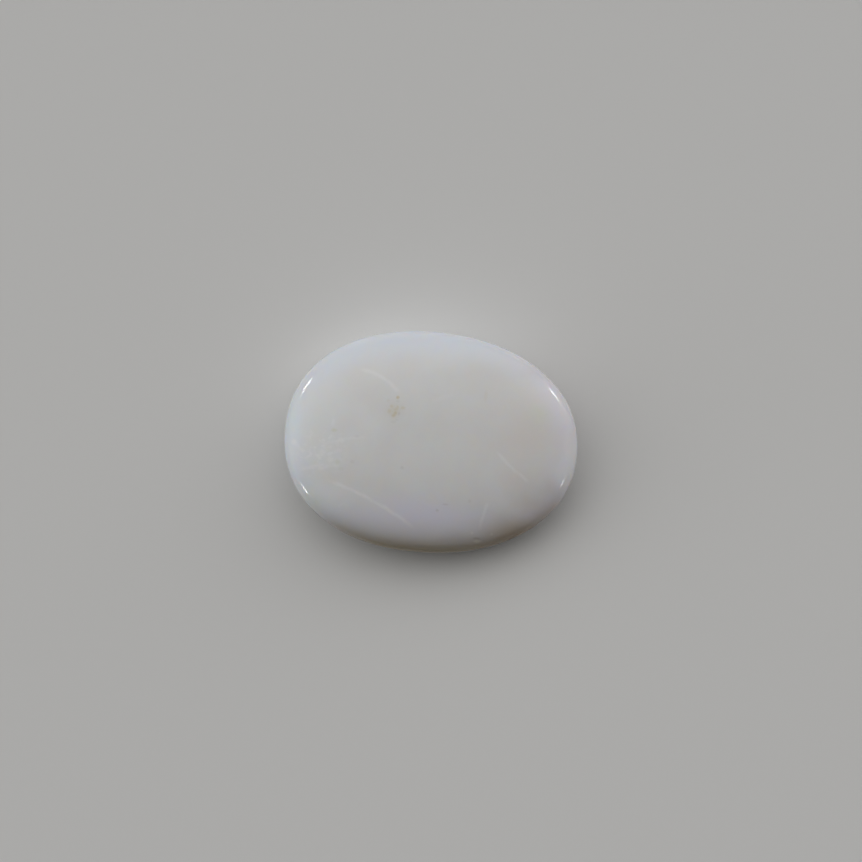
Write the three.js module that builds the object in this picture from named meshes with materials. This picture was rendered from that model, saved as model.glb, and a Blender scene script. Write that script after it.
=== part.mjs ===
// A polished white opal: one low-domed oval cabochon, lying on its flat back.
// Lengths are in millimetres. +X runs along the stone and +Z is up. The origin is
// on the flat back, below the middle of the oval.
import * as THREE from "three";

// Driving dimensions of the stone
const LENGTH = 16.0;
const WIDTH = 12.05;
const HEIGHT = 4.0;

// Plan outline: a little fuller than an ellipse, with the +X end the more pointed one
const OUTLINE_POWER = 2.16;
const POINTED_END = 0.008;

// The girdle is the level where the oval is widest. The stone was ground by hand,
// so its crown lies off the middle of the oval and one shoulder slopes longer.
const GIRDLE_HEIGHT = 0.55 * HEIGHT;
const CROWN_CENTRE = new THREE.Vector2(-0.4, 0.4);
const DOME_POWER = 2.35;

// Below the girdle the side rounds in to a flat back of the same outline, made smaller
const BACK_SHARE = 0.78;
const BACK_CENTRE = new THREE.Vector2(0, 0);
const UNDERSIDE_POWER = 2.0;

// Facets round the stone, and rows of them on its dome and on its underside
const FACETS_AROUND = 96;
const DOME_ROWS = 22;
const UNDERSIDE_ROWS = 9;

// Point of the plan outline, for a turn about Z from +X. The third harmonic draws the
// +X end out, and the shift that follows it keeps the oval centred on the origin.
function outlinePoint(turn) {
  const along = Math.cos(turn);
  const across = Math.sin(turn);
  const oval = Math.abs(along) ** OUTLINE_POWER + Math.abs(across) ** OUTLINE_POWER;
  const reach = (1 + POINTED_END * Math.cos(3 * turn)) / oval ** (1 / OUTLINE_POWER);
  return new THREE.Vector2(
    (LENGTH / 2) * (along * reach - POINTED_END),
    (WIDTH / 2) * across * reach,
  );
}

// Quarter of a superellipse, from the girdle to the pole. A power of 2 is an ellipse, and
// a higher one is flatter on top, with a tighter shoulder. The point is the one where the
// surface has turned by the given lean, from upright at the girdle to level at the pole.
function quarterCurve(lean, power, run, rise) {
  const ratio = ((Math.tan(lean) * rise) / run) ** (1 / (power - 1));
  const out = (1 + ratio ** power) ** (-1 / power);
  return { out, up: ratio * out };
}

// Half section, from the middle of the flat back to the crown. Its x is a share of the
// way out to the outline, and its y is a height. Rows turn by even angles.
function halfSection() {
  const section = [new THREE.Vector2(0, 0)];
  const meanRadius = (LENGTH + WIDTH) / 4;
  const overhang = 1 - BACK_SHARE;
  for (let row = UNDERSIDE_ROWS; row > 0; row--) {
    const lean = ((row / UNDERSIDE_ROWS) * Math.PI) / 2;
    const { out, up } = quarterCurve(lean, UNDERSIDE_POWER, overhang * meanRadius, GIRDLE_HEIGHT);
    section.push(new THREE.Vector2(BACK_SHARE + overhang * out, GIRDLE_HEIGHT * (1 - up)));
  }
  const domeHeight = HEIGHT - GIRDLE_HEIGHT;
  for (let row = 0; row <= DOME_ROWS; row++) {
    const lean = ((row / DOME_ROWS) * Math.PI) / 2;
    const { out, up } = quarterCurve(lean, DOME_POWER, meanRadius, domeHeight);
    section.push(new THREE.Vector2(out, GIRDLE_HEIGHT + domeHeight * up));
  }
  return section;
}

// The half section is turned about Z, and each ring of it is then drawn out to the oval.
function stoneGeometry() {
  const geometry = new THREE.LatheGeometry(halfSection(), FACETS_AROUND);
  geometry.rotateX(Math.PI / 2);
  const position = geometry.getAttribute("position");
  for (let i = 0; i < position.count; i++) {
    const [x, y, z] = [position.getX(i), position.getY(i), position.getZ(i)];
    const centre = z > GIRDLE_HEIGHT ? CROWN_CENTRE : BACK_CENTRE;
    const place = centre.clone().lerp(outlinePoint(Math.atan2(y, x)), Math.hypot(x, y));
    position.setXY(i, place.x, place.y);
  }
  geometry.computeVertexNormals();
  return geometry;
}

// Milky and glossy, with a faint cool tint
const polishedOpal = new THREE.MeshStandardMaterial({
  name: "polished_opal",
  color: 0xd9dadd,
  roughness: 0.08,
  metalness: 0,
});

const stone = new THREE.Mesh(stoneGeometry(), polishedOpal);
stone.name = "opal_stone";

const specimen = new THREE.Group();
specimen.add(stone);

export default specimen;
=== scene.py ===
import math

import bpy
import numpy as np
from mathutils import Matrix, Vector, noise


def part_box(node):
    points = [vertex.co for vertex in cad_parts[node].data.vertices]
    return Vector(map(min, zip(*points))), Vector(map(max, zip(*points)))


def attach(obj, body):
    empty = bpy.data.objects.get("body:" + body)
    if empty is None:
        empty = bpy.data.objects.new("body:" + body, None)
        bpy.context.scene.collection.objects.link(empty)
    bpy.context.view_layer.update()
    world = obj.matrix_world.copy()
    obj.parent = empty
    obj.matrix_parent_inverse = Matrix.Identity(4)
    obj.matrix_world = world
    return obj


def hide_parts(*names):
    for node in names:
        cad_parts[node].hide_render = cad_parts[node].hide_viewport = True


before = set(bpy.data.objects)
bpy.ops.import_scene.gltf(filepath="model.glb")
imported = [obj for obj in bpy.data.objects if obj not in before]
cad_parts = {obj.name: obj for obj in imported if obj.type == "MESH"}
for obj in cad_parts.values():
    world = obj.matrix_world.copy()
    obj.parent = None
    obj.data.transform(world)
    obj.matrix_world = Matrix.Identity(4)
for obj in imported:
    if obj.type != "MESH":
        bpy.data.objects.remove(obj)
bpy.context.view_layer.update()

# The stone
# One piece of milky white opal, ground by hand to a low oval dome with a flat back, and
# polished all over. It lies on its back. Sizes of marks are in millimetres, in plan.
MM = 0.001
stone_low, stone_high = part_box("opal_stone")
HALF_LENGTH = (stone_high.x - stone_low.x) / 2
HALF_WIDTH = (stone_high.y - stone_low.y) / 2
STONE_HEIGHT = stone_high.z - stone_low.z

# Plan outline: a little fuller than an ellipse, and drawn out towards +X
OUTLINE_POWER = 2.16
POINTED_END = 0.008
POINTED_LOBES = 3

# Section: the girdle is the widest level, with the dome above it and the underside below
GIRDLE_HEIGHT = 0.55 * STONE_HEIGHT
DOME_POWER = 2.35
UNDERSIDE_POWER = 2.0
BACK_SHARE = 0.78
CROWN_CENTRE = (-0.4 * MM, 0.4 * MM)
BACK_CENTRE = (0.0, 0.0)

# Fineness of the mesh
ROUND_STEPS = 384
BACK_ROWS = 6
UNDERSIDE_ROWS = 36
DOME_ROWS = 170
CURVE_SAMPLES = 4000

# Hand polishing leaves the dome very slightly uneven
POLISH_WAVE = 3.5 * MM
POLISH_DEPTH = 0.012 * MM

# Pits that the polishing opened, as plan place, radius and depth
PITS = [
    ((2.98, -5.17), 0.15, 0.05),
    ((-1.44, -1.49), 0.08, 0.008),
    ((0.63, -3.63), 0.08, 0.008),
]


def outline_points(turns):
    """Plan points of the girdle, for turns about Z from +X."""
    along = np.cos(turns)
    across = np.sin(turns)
    oval = np.abs(along) ** OUTLINE_POWER + np.abs(across) ** OUTLINE_POWER
    reach = (1 + POINTED_END * np.cos(POINTED_LOBES * turns)) / oval ** (1 / OUTLINE_POWER)
    return HALF_LENGTH * (along * reach - POINTED_END), HALF_WIDTH * across * reach


def quarter_curve(power, run, rise, rows):
    """Shares out and up on a quarter superellipse, evenly spaced from girdle to pole."""
    turn = np.linspace(0, math.pi / 2, CURVE_SAMPLES)
    out = np.cos(turn) ** (2 / power)
    up = np.sin(turn) ** (2 / power)
    steps = np.hypot(np.diff(out) * run, np.diff(up) * rise)
    travel = np.concatenate([[0], np.cumsum(steps)])
    stops = np.linspace(0, travel[-1], rows + 1)
    return np.interp(stops, travel, out), np.interp(stops, travel, up)


def stone_rings():
    """(share of the way out, height, plan centre) of each ring, from the back to the crown."""
    mean_radius = (HALF_LENGTH + HALF_WIDTH) / 2
    overhang = 1 - BACK_SHARE
    dome_height = STONE_HEIGHT - GIRDLE_HEIGHT
    rings = [(BACK_SHARE * row / BACK_ROWS, 0.0, BACK_CENTRE) for row in range(1, BACK_ROWS)]
    out, up = quarter_curve(UNDERSIDE_POWER, overhang * mean_radius, GIRDLE_HEIGHT, UNDERSIDE_ROWS)
    for row in range(UNDERSIDE_ROWS, 0, -1):
        rings.append((BACK_SHARE + overhang * out[row], GIRDLE_HEIGHT * (1 - up[row]), BACK_CENTRE))
    out, up = quarter_curve(DOME_POWER, mean_radius, dome_height, DOME_ROWS)
    for row in range(DOME_ROWS):
        rings.append((out[row], GIRDLE_HEIGHT + dome_height * up[row], CROWN_CENTRE))
    return rings


def worn_height(x, y, z):
    """How far the polished surface lies below the true dome at a point."""
    swell = noise.noise(Vector((x, y, z)) / POLISH_WAVE)
    depth = POLISH_DEPTH * (0.5 + 0.5 * swell)
    for (pit_x, pit_y), radius, pit_depth in PITS:
        distance = math.hypot(x / MM - pit_x, y / MM - pit_y) / radius
        depth += pit_depth * MM * math.exp(-distance * distance)
    return depth


def stone_mesh():
    """The closed skin of the stone, ring by ring from the middle of the back to the crown."""
    oval_x, oval_y = outline_points(np.linspace(0, 2 * math.pi, ROUND_STEPS, endpoint=False))
    vertices = [(BACK_CENTRE[0], BACK_CENTRE[1], 0.0)]
    rings = stone_rings()
    for share, z, (centre_x, centre_y) in rings:
        ring_x = centre_x + share * (oval_x - centre_x)
        ring_y = centre_y + share * (oval_y - centre_y)
        for x, y in zip(ring_x, ring_y):
            drop = worn_height(x, y, z) if z > GIRDLE_HEIGHT else 0.0
            vertices.append((x, y, z - drop))
    crown_x, crown_y = CROWN_CENTRE
    vertices.append((crown_x, crown_y, STONE_HEIGHT - worn_height(crown_x, crown_y, STONE_HEIGHT)))

    last_ring = len(rings) - 1
    crown = len(vertices) - 1
    faces = []
    for step in range(ROUND_STEPS):
        after = (step + 1) % ROUND_STEPS
        faces.append((0, 1 + after, 1 + step))
        for ring in range(last_ring):
            lower = 1 + ring * ROUND_STEPS
            upper = lower + ROUND_STEPS
            faces.append((lower + step, lower + after, upper + after, upper + step))
        top = 1 + last_ring * ROUND_STEPS
        faces.append((top + step, top + after, crown))
    mesh = bpy.data.meshes.new("opal_cabochon")
    mesh.from_pydata(vertices, [], faces)
    mesh.shade_smooth()
    return mesh


def add_node(tree, kind, inputs=None, **settings):
    """A new node with its settings made and its inputs given values or linked."""
    node = tree.nodes.new(kind)
    for name, value in settings.items():
        setattr(node, name, value)
    for socket, value in (inputs or {}).items():
        if isinstance(value, bpy.types.NodeSocket):
            tree.links.new(value, node.inputs[socket])
        else:
            node.inputs[socket].default_value = value
    return node


def add_math(tree, operation, *values):
    return add_node(tree, "ShaderNodeMath", dict(enumerate(values)), operation=operation).outputs[0]


def add_product(tree, first, *others):
    product = first
    for other in others:
        product = add_math(tree, "MULTIPLY", product, other)
    return product


def add_vector_math(tree, operation, *values, output="Vector"):
    node = add_node(tree, "ShaderNodeVectorMath", dict(enumerate(values)), operation=operation)
    return node.outputs[output]


def add_scaled(tree, vector, times):
    inputs = {"Vector": vector, "Scale": times}
    return add_node(tree, "ShaderNodeVectorMath", inputs, operation="SCALE").outputs["Vector"]


def add_axis(tree, vector, axis):
    return add_node(tree, "ShaderNodeSeparateXYZ", {"Vector": vector}).outputs[axis]


def add_noise(tree, place, fineness, detail):
    """Cloudy noise from 0 to 1, with about that many clouds to each unit of the place."""
    inputs = {"Vector": place, "Scale": fineness, "Detail": detail}
    return add_node(tree, "ShaderNodeTexNoise", inputs).outputs["Fac"]


def add_ramp(tree, value, start, end, low=0.0, high=1.0):
    """A value that goes smoothly from low at start to high at end."""
    inputs = {"Value": value, 1: start, 2: end, 3: low, 4: high}
    return add_node(tree, "ShaderNodeMapRange", inputs, interpolation_type="SMOOTHSTEP").outputs[0]


def add_tint(tree, share, colour, tint, blend="MIX"):
    """Lays a tint over a colour, by a mask."""
    inputs = {0: share, 6: colour, 7: tint}
    node = add_node(tree, "ShaderNodeMix", inputs, data_type="RGBA", blend_type=blend)
    return node.outputs[2]


def new_group(name, vectors, values):
    """An empty node group, with its vectors and values as inputs and one output, a mask."""
    tree = bpy.data.node_groups.new(name, "ShaderNodeTree")
    for socket in vectors:
        tree.interface.new_socket(socket, in_out="INPUT", socket_type="NodeSocketVector")
    for socket in values:
        tree.interface.new_socket(socket, in_out="INPUT", socket_type="NodeSocketFloat")
    tree.interface.new_socket("Mask", in_out="OUTPUT", socket_type="NodeSocketFloat")
    source = tree.nodes.new("NodeGroupInput")
    sink = tree.nodes.new("NodeGroupOutput")
    return tree, source.outputs, sink.inputs


# A healed crack bows most half way along, where the shares behind and ahead multiply to 1/4
FULL_HALF_WAY = 4.0

# It wavers to either side, dies out at its tips, and is faint here and there
WAVER_FINENESS = 1.6
WAVER_REACH = 0.1
TIP_SHARE = 0.16
FAINT_FINENESS = 2.2
FAINT_RANGE = (0.3, 0.55)
FAINTEST = 0.45


def hairline_group():
    """A thin healed crack: a line from Start to End, which stands off its chord by Bow at half way."""
    tree, given, made = new_group("hairline", ["Place", "Start", "End"], ["Bow", "Thickness"])
    chord = add_vector_math(tree, "SUBTRACT", given["End"], given["Start"])
    length = add_vector_math(tree, "LENGTH", chord, output="Value")
    along = add_vector_math(tree, "NORMALIZE", chord)
    across = add_vector_math(tree, "CROSS_PRODUCT", (0.0, 0.0, 1.0), along)
    offset = add_vector_math(tree, "SUBTRACT", given["Place"], given["Start"])
    travel = add_vector_math(tree, "DOT_PRODUCT", offset, along, output="Value")
    travel = add_math(tree, "DIVIDE", travel, length)
    left = add_math(tree, "SUBTRACT", 1.0, travel)
    aside = add_vector_math(tree, "DOT_PRODUCT", offset, across, output="Value")
    bow = add_product(tree, travel, left, FULL_HALF_WAY, given["Bow"])
    waver = add_noise(tree, given["Place"], WAVER_FINENESS, detail=3.0)
    waver = add_math(tree, "MULTIPLY_ADD", waver, 2 * WAVER_REACH, -WAVER_REACH)
    away = add_math(tree, "SUBTRACT", add_math(tree, "SUBTRACT", aside, bow), waver)
    away = add_math(tree, "DIVIDE", add_math(tree, "ABSOLUTE", away), given["Thickness"])
    line = add_ramp(tree, away, 0.0, 1.0, 1.0, 0.0)
    tips = [add_ramp(tree, way, 0.0, TIP_SHARE) for way in (travel, left)]
    faint = add_noise(tree, given["Place"], FAINT_FINENESS, detail=2.0)
    faint = add_ramp(tree, faint, *FAINT_RANGE, FAINTEST, 1.0)
    tree.links.new(add_product(tree, line, *tips, faint), made["Mask"])
    return tree


# A soft spot is worked out as far as this many radii from its centre
SPOT_REACH = 2.0
SPOT_FINENESS = 2.8


def soft_spot_group():
    """A spot with a soft uneven edge, as an inclusion or a cloud has."""
    vectors = ["Place", "Centre", "Radius"]
    tree, given, made = new_group("soft spot", vectors, ["Softness", "Raggedness"])
    reach = add_scaled(tree, given["Radius"], SPOT_REACH)
    inputs = {"Vector": given["Place"], "Location": given["Centre"], "Scale": reach}
    offset = add_node(tree, "ShaderNodeMapping", inputs, vector_type="TEXTURE").outputs[0]
    nearness = add_node(tree, "ShaderNodeTexGradient", {"Vector": offset}, gradient_type="SPHERICAL")
    distance = add_math(tree, "MULTIPLY_ADD", nearness.outputs["Fac"], -SPOT_REACH, SPOT_REACH)
    ragged = add_noise(tree, offset, SPOT_FINENESS, detail=3.0)
    ragged = add_math(tree, "MULTIPLY_ADD", ragged, 2.0, -1.0)
    distance = add_math(tree, "ADD", distance, add_product(tree, ragged, given["Raggedness"]))
    inner = add_math(tree, "SUBTRACT", 1.0, given["Softness"])
    tree.links.new(add_ramp(tree, distance, inner, 1.0, 1.0, 0.0), made["Mask"])
    return tree


# Milk of the body, and the tints that show in it; the cool rim, lavender and frost are partly painted
# sheen, healed white and dense milk also serve as painted side light at the ends, and murk and tea are
# partly painted shade
MILK = (0.772, 0.763, 0.748, 1)
DENSE_MILK_AND_SIDE_LIGHT = (0.80, 0.812, 0.815, 1)
COOL_RIM_AND_SHEEN = (0.78, 0.812, 0.867, 1)
FROST_AND_SHEEN = (0.775, 0.845, 0.90, 1)
MURK_AND_SHADE = (0.62, 0.605, 0.60, 1)
LAVENDER_AND_SHEEN = (0.805, 0.785, 0.83, 1)
LILAC = (0.775, 0.762, 0.84, 1)
ROSE = (0.79, 0.695, 0.645, 1)
LEAF = (0.73, 0.76, 0.67, 1)
SAGE = (0.755, 0.775, 0.685, 1)
TEA_AND_SHADE = (0.64, 0.56, 0.44, 1)
HEALED_WHITE_AND_SIDE_LIGHT = (0.90, 0.90, 0.90, 1)
CHALK_AND_GLINT = (0.94, 0.97, 1.0, 1)
AMBER = (0.68, 0.61, 0.45, 1)
MOSS = (0.66, 0.66, 0.50, 1)
SOOT = (0.52, 0.48, 0.44, 1)

# The milk is a little uneven, with denser clouds where the noise is high in its middle range
MILK_FINENESS = 0.5
MIDDLE_RANGE = (0.3, 0.7)
DENSE_SHARE = 0.4

# The rim is cool and lighter, partly the opal's own tint and partly painted sheen of the lit edge,
# fading out over these insets, and turns to lavender over this span of X
RIM_AND_SHEEN_INSETS = (0.3, 2.0)
LAVENDER_SPAN = (1.0, 7.0)

# Faint clouds of colour and of denser milk, as centre, radius, colour and strength; some are partly
# painted shade or side light, as said over them
CLOUDS = [
    ((5.1, 0.5), (2.6, 3.6), ROSE, 0.28),
    ((3.4, 1.8), (0.8, 1.2), ROSE, 0.16),
    ((4.4, -1.6), (1.1, 1.0), ROSE, 0.18),
    ((5.6, 1.9), (1.1, 1.0), LEAF, 0.35),
    # Tea and murk low on the side away from the light are partly brownish grey body tone and partly
    # painted shade
    ((6.6, -2.0), (0.9, 1.0), TEA_AND_SHADE, 0.20),
    ((5.5, -2.9), (1.2, 0.8), TEA_AND_SHADE, 0.23),
    ((4.5, -4.4), (2.0, 1.1), TEA_AND_SHADE, 0.52),
    ((3.4, -4.0), (2.6, 1.4), MURK_AND_SHADE, 0.40),
    ((1.8, -5.1), (1.4, 0.8), MURK_AND_SHADE, 0.30),
    ((5.6, -2.4), (2.0, 1.6), MURK_AND_SHADE, 0.25),
    ((2.6, 3.9), (3.6, 1.4), MURK_AND_SHADE, 0.22),
    ((5.4, 4.2), (1.4, 1.0), MURK_AND_SHADE, 0.22),
    ((-3.5, 0.5), (1.5, 1.9), HEALED_WHITE_AND_SIDE_LIGHT, 0.22),
    # The big cloud of dense milk makes the -X end lighter, partly as painted light from that side
    ((-6.4, 0.6), (2.6, 3.8), DENSE_MILK_AND_SIDE_LIGHT, 0.80),
    ((-6.2, 0.3), (1.2, 2.6), LEAF, 0.12),
    ((-6.0, -2.7), (1.6, 1.1), LEAF, 0.22),
    ((-5.6, -3.2), (2.2, 1.4), HEALED_WHITE_AND_SIDE_LIGHT, 0.38),
    ((-6.5, -3.9), (1.6, 1.2), SAGE, 0.50),
    # The lighter cloud on the rim at the +X end and the frost on the rim at the -X end are partly
    # painted side light and sheen
    ((7.6, -0.8), (1.0, 2.6), HEALED_WHITE_AND_SIDE_LIGHT, 0.65),
    ((-7.6, 0.2), (0.8, 2.6), FROST_AND_SHEEN, 0.60),
    ((-5.6, -1.2), (1.8, 1.2), DENSE_MILK_AND_SIDE_LIGHT, 0.50),
    ((-4.8, -3.8), (1.0, 0.6), DENSE_MILK_AND_SIDE_LIGHT, 0.50),
    ((-0.3, -4.1), (5.8, 1.7), LILAC, 0.75),
]
CLOUD_EDGE = {"Softness": 0.95, "Raggedness": 0.5}

# White curds crowd one end of the stone, as centre, radius and strength of each crowd
CURDS = [
    ((-5.9, -0.9), (2.0, 2.0), 0.45),
    ((-4.4, -3.9), (1.2, 0.8), 0.25),
]
CURD_SIZE = 0.3
CURD_RANGE = (0.48, 0.70)
CURD_EDGE = {"Softness": 0.9, "Raggedness": 0.5}

# Healed cracks, as start, end, bow, thickness and strength
HAIRLINES = [
    ((-5.70, -2.43), (-0.35, -4.82), 0.28, 0.16, 0.60),
    ((-4.26, 3.69), (-1.76, 2.38), 0.26, 0.18, 0.36),
    ((3.46, -0.13), (5.54, -1.75), -0.08, 0.16, 0.38),
    ((-6.09, -0.72), (-3.30, 0.00), 0.15, 0.15, 0.24),
    ((-7.66, -0.41), (-6.77, -1.16), 0.05, 0.20, 0.28),
    ((-7.08, -2.06), (-4.70, -1.65), 0.10, 0.17, 0.34),
    ((3.32, -2.92), (3.01, -4.60), -0.04, 0.15, 0.38),
    ((-0.23, 2.18), (1.10, 2.72), 0.02, 0.20, 0.12),
]

# Stains, soot, white grains and the scar of a chip, as centre, radius, colour and strength; the chip's
# white scar is partly a painted glint
INCLUSIONS = [
    ((-2.08, 1.58), (0.75, 0.70), AMBER, 0.16),
    ((-2.10, 1.46), (0.40, 0.45), AMBER, 0.22),
    ((-1.98, 2.27), (0.14, 0.14), AMBER, 0.85),
    ((-2.28, 1.77), (0.14, 0.14), AMBER, 0.42),
    ((-1.95, 1.72), (0.12, 0.20), AMBER, 0.38),
    ((-1.66, 1.73), (0.20, 0.13), AMBER, 0.42),
    ((-2.37, 1.50), (0.16, 0.18), AMBER, 0.38),
    ((-2.04, 1.42), (0.14, 0.16), AMBER, 0.70),
    ((-2.13, 1.28), (0.16, 0.12), AMBER, 0.70),
    ((-2.05, 1.62), (0.11, 0.12), AMBER, 0.35),
    ((-1.84, 1.41), (0.10, 0.15), SOOT, 0.24),
    ((-1.95, 2.07), (0.15, 0.10), SOOT, 0.14),
    ((-1.95, 1.07), (0.16, 0.09), SOOT, 0.12),
    ((-2.48, 2.06), (0.14, 0.14), AMBER, 0.18),
    ((-2.11, 0.94), (0.22, 0.12), SOOT, 0.12),
    ((-5.27, 0.24), (0.24, 0.15), MOSS, 0.40),
    ((-4.96, -1.45), (0.20, 0.20), MOSS, 0.20),
    ((-4.74, -1.82), (0.24, 0.15), MOSS, 0.18),
    ((2.74, 2.75), (0.16, 0.45), AMBER, 0.18),
    ((-4.01, 0.00), (0.20, 0.12), SOOT, 0.12),
    ((-4.14, -1.38), (0.20, 0.15), SOOT, 0.12),
    ((-1.44, -1.49), (0.15, 0.15), SOOT, 0.20),
    ((0.63, -3.63), (0.14, 0.12), SOOT, 0.32),
    ((1.04, -3.27), (0.25, 0.08), SOOT, 0.25),
    ((2.33, -3.00), (0.15, 0.14), SOOT, 0.18),
    ((2.61, -4.71), (0.12, 0.12), HEALED_WHITE_AND_SIDE_LIGHT, 0.50),
    ((3.68, -4.70), (0.12, 0.12), HEALED_WHITE_AND_SIDE_LIGHT, 0.45),
    # The chip's white scar stands partly for a painted glint on the chipped edge
    ((2.95, -5.15), (0.33, 0.14), CHALK_AND_GLINT, 1.00),
    ((2.86, -4.99), (0.28, 0.09), SOOT, 0.45),
    ((-5.83, -0.95), (0.20, 0.18), HEALED_WHITE_AND_SIDE_LIGHT, 0.35),
    ((-5.35, -1.36), (0.26, 0.28), HEALED_WHITE_AND_SIDE_LIGHT, 0.30),
    ((-4.94, -0.84), (0.28, 0.18), HEALED_WHITE_AND_SIDE_LIGHT, 0.25),
    ((-5.83, -1.88), (0.24, 0.17), HEALED_WHITE_AND_SIDE_LIGHT, 0.35),
    ((-5.35, 0.66), (0.16, 0.30), HEALED_WHITE_AND_SIDE_LIGHT, 0.30),
    ((-7.39, -0.60), (0.22, 0.26), HEALED_WHITE_AND_SIDE_LIGHT, 0.40),
]
INCLUSION_EDGE = {"Softness": 0.8, "Raggedness": 0.35}

# Cracks and inclusions fade out this far below the girdle
MARK_FADE = 0.4

# Painted shade: the body is darkened towards the side away from the light, and its edge there is smoky
# brown, partly the stone's own tint and partly painted shade, over these spans that way
SHADED_WAY = (0.14, -0.990, 0.0)
PAINTED_SHADE = (0.92, 0.91, 0.92, 1)
PAINTED_SHADE_SPAN = (0.5, 5.8)
SMOKE_AND_SHADE = (0.48, 0.385, 0.23, 1)
SMOKE_AND_SHADE_SPAN = (2.3, 6.05)

# The smoky brown and painted shade start this deep inside the outline, grow by this power, and are
# full at the edge
SMOKE_AND_SHADE_DEPTH = 3.0
SMOKE_AND_SHADE_FALL = 3.0
SMOKE_AND_SHADE_EDGE = 0.15

# The smoky brown and painted shade are a little thinner in patches low on the wall
PATCH_FINENESS = 0.7
PATCH_HEIGHT = 2.0
SMOKE_AND_SHADE_LEVELS = (1.4, GIRDLE_HEIGHT / MM + 0.8)
THINNEST_SMOKE_AND_SHADE = 0.8

# The polish is slightly smeared, and the back was only lapped, so it is duller than the rest
SMEAR_FINENESS = 1.2
POLISH_ROUGHNESS = (0.08, 0.13)
LAPPED_LEVELS = (0.04, 0.12)
LAPPED_ROUGHNESS = 0.4

# Light goes a little way into opal, and red light goes deepest
OPAL_IOR = 1.45
SCATTER_DEPTH = 0.7 * MM
SCATTER_SHARES = (1.0, 0.82, 0.62)


def add_inset(tree, plan):
    """How far inside the outline a place is, in plan and along its radius."""
    shares = add_vector_math(tree, "MULTIPLY", plan, (MM / HALF_LENGTH, MM / HALF_WIDTH, 0.0))
    shares = add_vector_math(tree, "ABSOLUTE", shares)
    powers = [add_math(tree, "POWER", add_axis(tree, shares, axis), OUTLINE_POWER) for axis in "XY"]
    share = add_math(tree, "POWER", add_math(tree, "ADD", *powers), 1 / OUTLINE_POWER)
    radius = add_vector_math(tree, "LENGTH", plan, output="Value")
    return add_math(tree, "SUBTRACT", add_math(tree, "DIVIDE", radius, share), radius)


def add_milk(tree, solid, plan, inset):
    """The colour of the body: uneven milk with a cool, lighter rim that is partly painted sheen."""
    dense = add_noise(tree, solid, MILK_FINENESS, detail=5.0)
    colour = add_tint(tree, add_ramp(tree, dense, *MIDDLE_RANGE, 0.0, DENSE_SHARE), MILK, DENSE_MILK_AND_SIDE_LIGHT)
    lavender = add_ramp(tree, add_axis(tree, plan, "X"), *LAVENDER_SPAN)
    rim_and_sheen = add_tint(tree, lavender, COOL_RIM_AND_SHEEN, LAVENDER_AND_SHEEN)
    return add_tint(tree, add_ramp(tree, inset, *RIM_AND_SHEEN_INSETS, 1.0, 0.0), colour, rim_and_sheen)


def add_marks(tree, colour, solid, plan, level):
    """Lays the clouds, curds, cracks and inclusions over the colour of the body; some clouds are
    partly painted shade or side light, and the chip scar is partly a painted glint.
    """
    soft_spot = soft_spot_group()
    hairline = hairline_group()

    def spot(centre, radius, edge):
        """The mask of one soft spot."""
        inputs = {"Place": plan, "Centre": (*centre, 0.0), "Radius": (*radius, 1.0), **edge}
        return add_node(tree, "ShaderNodeGroup", inputs, node_tree=soft_spot).outputs["Mask"]

    for centre, radius, cloud, strength in CLOUDS:
        share = add_product(tree, spot(centre, radius, CLOUD_EDGE), strength)
        colour = add_tint(tree, share, colour, cloud)

    curds = add_noise(tree, solid, 1 / CURD_SIZE, detail=2.0)
    for centre, radius, strength in CURDS:
        share = add_ramp(tree, curds, *CURD_RANGE, 0.0, strength)
        share = add_product(tree, share, spot(centre, radius, CURD_EDGE))
        colour = add_tint(tree, share, colour, HEALED_WHITE_AND_SIDE_LIGHT)

    girdle = GIRDLE_HEIGHT / MM
    on_dome = add_ramp(tree, level, girdle - MARK_FADE, girdle)
    for start, end, bow, thickness, strength in HAIRLINES:
        ends = {"Place": plan, "Start": (*start, 0.0), "End": (*end, 0.0)}
        inputs = {**ends, "Bow": bow, "Thickness": thickness}
        crack = add_node(tree, "ShaderNodeGroup", inputs, node_tree=hairline).outputs["Mask"]
        colour = add_tint(tree, add_product(tree, crack, strength, on_dome), colour, HEALED_WHITE_AND_SIDE_LIGHT)

    for centre, radius, stain, strength in INCLUSIONS:
        share = add_product(tree, spot(centre, radius, INCLUSION_EDGE), strength, on_dome)
        colour = add_tint(tree, share, colour, stain)
    return colour


def add_smoke_and_shade(tree, colour, solid, plan, level, inset):
    """Lays painted shade over the whole side away from the light, and a smoky brown that is partly
    painted shade over its edge.
    """
    down = add_vector_math(tree, "DOT_PRODUCT", plan, SHADED_WAY, output="Value")
    colour = add_tint(tree, add_ramp(tree, down, *PAINTED_SHADE_SPAN), colour, PAINTED_SHADE, "MULTIPLY")
    near_edge = add_node(tree, "ShaderNodeMapRange", {"Value": inset, 1: SMOKE_AND_SHADE_DEPTH, 2: SMOKE_AND_SHADE_EDGE})
    smoke_and_shade = add_math(tree, "POWER", near_edge.outputs[0], SMOKE_AND_SHADE_FALL)
    patches = add_noise(tree, solid, PATCH_FINENESS, detail=4.0)
    ragged_level = add_math(tree, "MULTIPLY_ADD", patches, PATCH_HEIGHT, level)
    thinned = add_ramp(tree, ragged_level, *SMOKE_AND_SHADE_LEVELS, THINNEST_SMOKE_AND_SHADE, 1.0)
    smoke_and_shade = add_product(tree, smoke_and_shade, add_ramp(tree, down, *SMOKE_AND_SHADE_SPAN), thinned)
    return add_tint(tree, smoke_and_shade, colour, SMOKE_AND_SHADE, "MULTIPLY")


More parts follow.
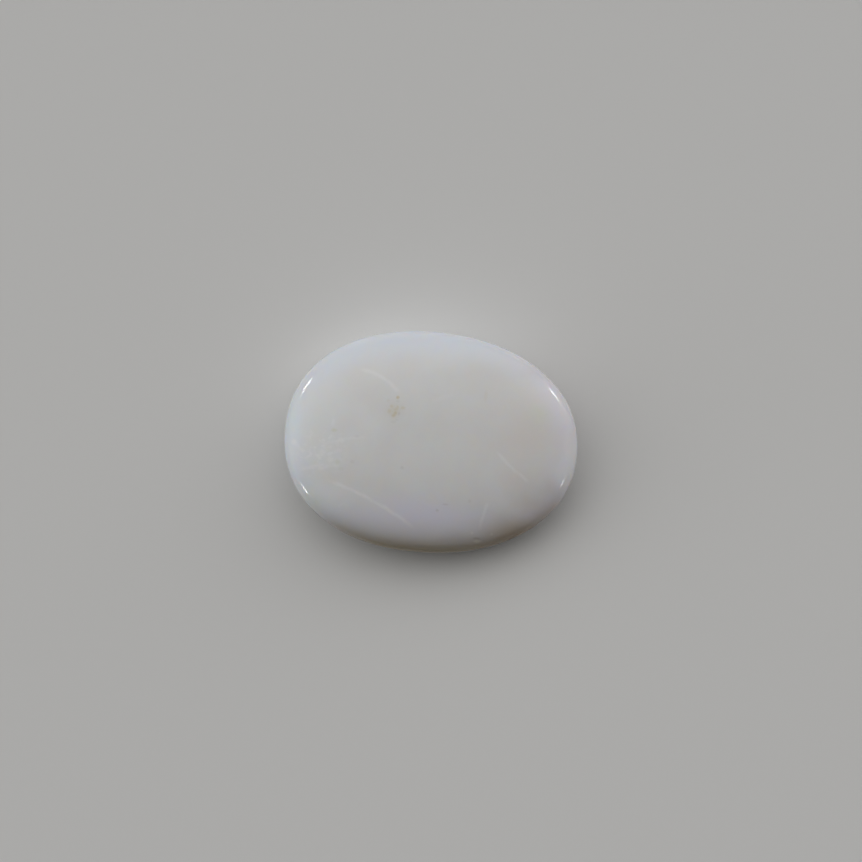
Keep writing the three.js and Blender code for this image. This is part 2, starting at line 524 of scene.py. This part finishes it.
def opal_material():
    """Milky opal with its marks, its rim partly painted sheen, its smoky edge partly painted shade,
    and its polish.
    """
    material = bpy.data.materials.new("polished_opal")
    material.use_nodes = True
    tree = material.node_tree
    tree.nodes.clear()

    place = add_node(tree, "ShaderNodeTexCoord").outputs["Object"]
    solid = add_scaled(tree, place, 1 / MM)
    plan = add_vector_math(tree, "MULTIPLY", solid, (1.0, 1.0, 0.0))
    level = add_axis(tree, solid, "Z")
    inset = add_inset(tree, plan)
    colour = add_milk(tree, solid, plan, inset)
    colour = add_marks(tree, colour, solid, plan, level)
    colour = add_smoke_and_shade(tree, colour, solid, plan, level, inset)

    smear = add_noise(tree, solid, SMEAR_FINENESS, detail=5.0)
    polished = add_ramp(tree, smear, *MIDDLE_RANGE, *POLISH_ROUGHNESS)
    lapped = add_ramp(tree, level, *LAPPED_LEVELS, LAPPED_ROUGHNESS, 0.0)
    opal = add_node(
        tree,
        "ShaderNodeBsdfPrincipled",
        {
            "Base Color": colour,
            "Roughness": add_math(tree, "MAXIMUM", polished, lapped),
            "IOR": OPAL_IOR,
            "Subsurface Weight": 1.0,
            "Subsurface Radius": SCATTER_SHARES,
            "Subsurface Scale": SCATTER_DEPTH,
        },
    )
    add_node(tree, "ShaderNodeOutputMaterial", {"Surface": opal.outputs[0]})
    return material


def new_object(name, data):
    """An object of the scene, made from a mesh, a lamp or a camera."""
    thing = bpy.data.objects.new(name, data)
    bpy.context.scene.collection.objects.link(thing)
    return thing


stone = new_object("opal_cabochon", stone_mesh())
stone.data.materials.append(opal_material())
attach(stone, "root")
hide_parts("opal_stone")

# The floor
# A plain pale matt board, wider than any view of the stone takes in. The stone only lies on
# it, so it is no part of the object.
FLOOR_SIZE = 1.6
FLOOR_COLOUR = (0.72, 0.71, 0.69, 1)
FLOOR_ROUGHNESS = 0.85
half_floor = FLOOR_SIZE / 2
floor_corners = [(half_floor * x, half_floor * y, 0) for x, y in [(-1, -1), (1, -1), (1, 1), (-1, 1)]]
floor_mesh = bpy.data.meshes.new("floor")
floor_mesh.from_pydata(floor_corners, [], [(0, 1, 2, 3)])
floor_material = bpy.data.materials.new("floor_board")
floor_material.use_nodes = True
board = floor_material.node_tree.nodes["Principled BSDF"]
board.inputs["Base Color"].default_value = FLOOR_COLOUR
board.inputs["Roughness"].default_value = FLOOR_ROUGHNESS
floor_mesh.materials.append(floor_material)
floor = new_object("floor", floor_mesh)

# The light
# One long soft light on the far side of the stone, arching from its left to its right, and
# four small lamps low round the stone, which show only as glints on its shoulder.
ARCH_TURN = math.radians(110)
ARCH_RISE = math.radians(60)
ARCH_WIDTH = 0.8
ARCH_ENDS = (-0.4, 0.2)
ARCH_LIGHT = (1.452, 1.460, 1.469, 1)
SHADE = (0.0, 0.0, 0.0, 1)

world = bpy.data.worlds.new("soft_light")
bpy.context.scene.world = world
world.use_nodes = True
sky = world.node_tree
direction = add_node(sky, "ShaderNodeTexCoord").outputs["Generated"]
far = Vector((math.cos(ARCH_TURN), math.sin(ARCH_TURN), 0.0))
across_arch = far * math.sin(ARCH_RISE) - Vector((0.0, 0.0, math.cos(ARCH_RISE)))
off_arch = add_vector_math(sky, "DOT_PRODUCT", direction, across_arch, output="Value")
arch = add_ramp(sky, add_math(sky, "ABSOLUTE", off_arch), 0.0, ARCH_WIDTH, 1.0, 0.0)
far_share = add_vector_math(sky, "DOT_PRODUCT", direction, far, output="Value")
arch = add_product(sky, arch, add_ramp(sky, far_share, *ARCH_ENDS))
light = add_tint(sky, arch, SHADE, ARCH_LIGHT)

# Past the edge of the floor the camera sees a plain wall, as pale as the floor looks
WALL = (0.40, 0.40, 0.39, 1)
seen = add_node(sky, "ShaderNodeLightPath").outputs["Is Camera Ray"]
sky.links.new(add_tint(sky, seen, light, WALL), sky.nodes["Background"].inputs["Color"])

# Each lamp's turn about Z and rise in degrees, its width and height in metres, and its brightness
LAMP_DISTANCE = 0.16
LAMPS = [
    (153.5, 14.3, 0.034, 0.020, 16),
    (215.3, 12.8, 0.023, 0.016, 15),
    (38.3, 12.4, 0.026, 0.017, 15),
    (-18.7, 18.2, 0.015, 0.012, 12),
]
for number, (turn, rise, width, height, brightness) in enumerate(LAMPS, 1):
    lamp_light = bpy.data.lights.new(f"lamp_{number}", "AREA")
    lamp_light.shape = "ELLIPSE"
    lamp_light.size = width
    lamp_light.size_y = height
    lamp_area = math.pi / 4 * width * height
    lamp_light.energy = brightness * math.pi * lamp_area
    lamp = new_object(f"lamp_{number}", lamp_light)
    turn = math.radians(turn)
    outward = Vector((math.cos(turn), math.sin(turn), math.tan(math.radians(rise))))
    lamp.location = outward * LAMP_DISTANCE + Vector((0, 0, GIRDLE_HEIGHT))
    lamp.rotation_euler = outward.to_track_quat("Z", "Y").to_euler()
    lamp.visible_camera = False
    lamp.visible_diffuse = False

# The camera
# Straight above the stone, as far off as its lens needs for the width of the frame, and
# turned a little so that the stone's long axis runs down to the right.
LENS = 100
SENSOR = 36
FRAME_WIDTH = 0.04706
AIM = (-0.05 * MM, 0.615 * MM)
ROLL = math.radians(4.65)
NEAREST_SEEN = 5 * MM
camera_data = bpy.data.cameras.new("camera")
camera_data.lens = LENS
camera_data.sensor_width = SENSOR
camera_data.clip_start = NEAREST_SEEN
camera = new_object("camera", camera_data)
camera.location = (*AIM, GIRDLE_HEIGHT + FRAME_WIDTH * LENS / SENSOR)
camera.rotation_euler = (0, 0, ROLL)
bpy.context.scene.camera = camera
bpy.context.scene.view_settings.view_transform = "Standard"
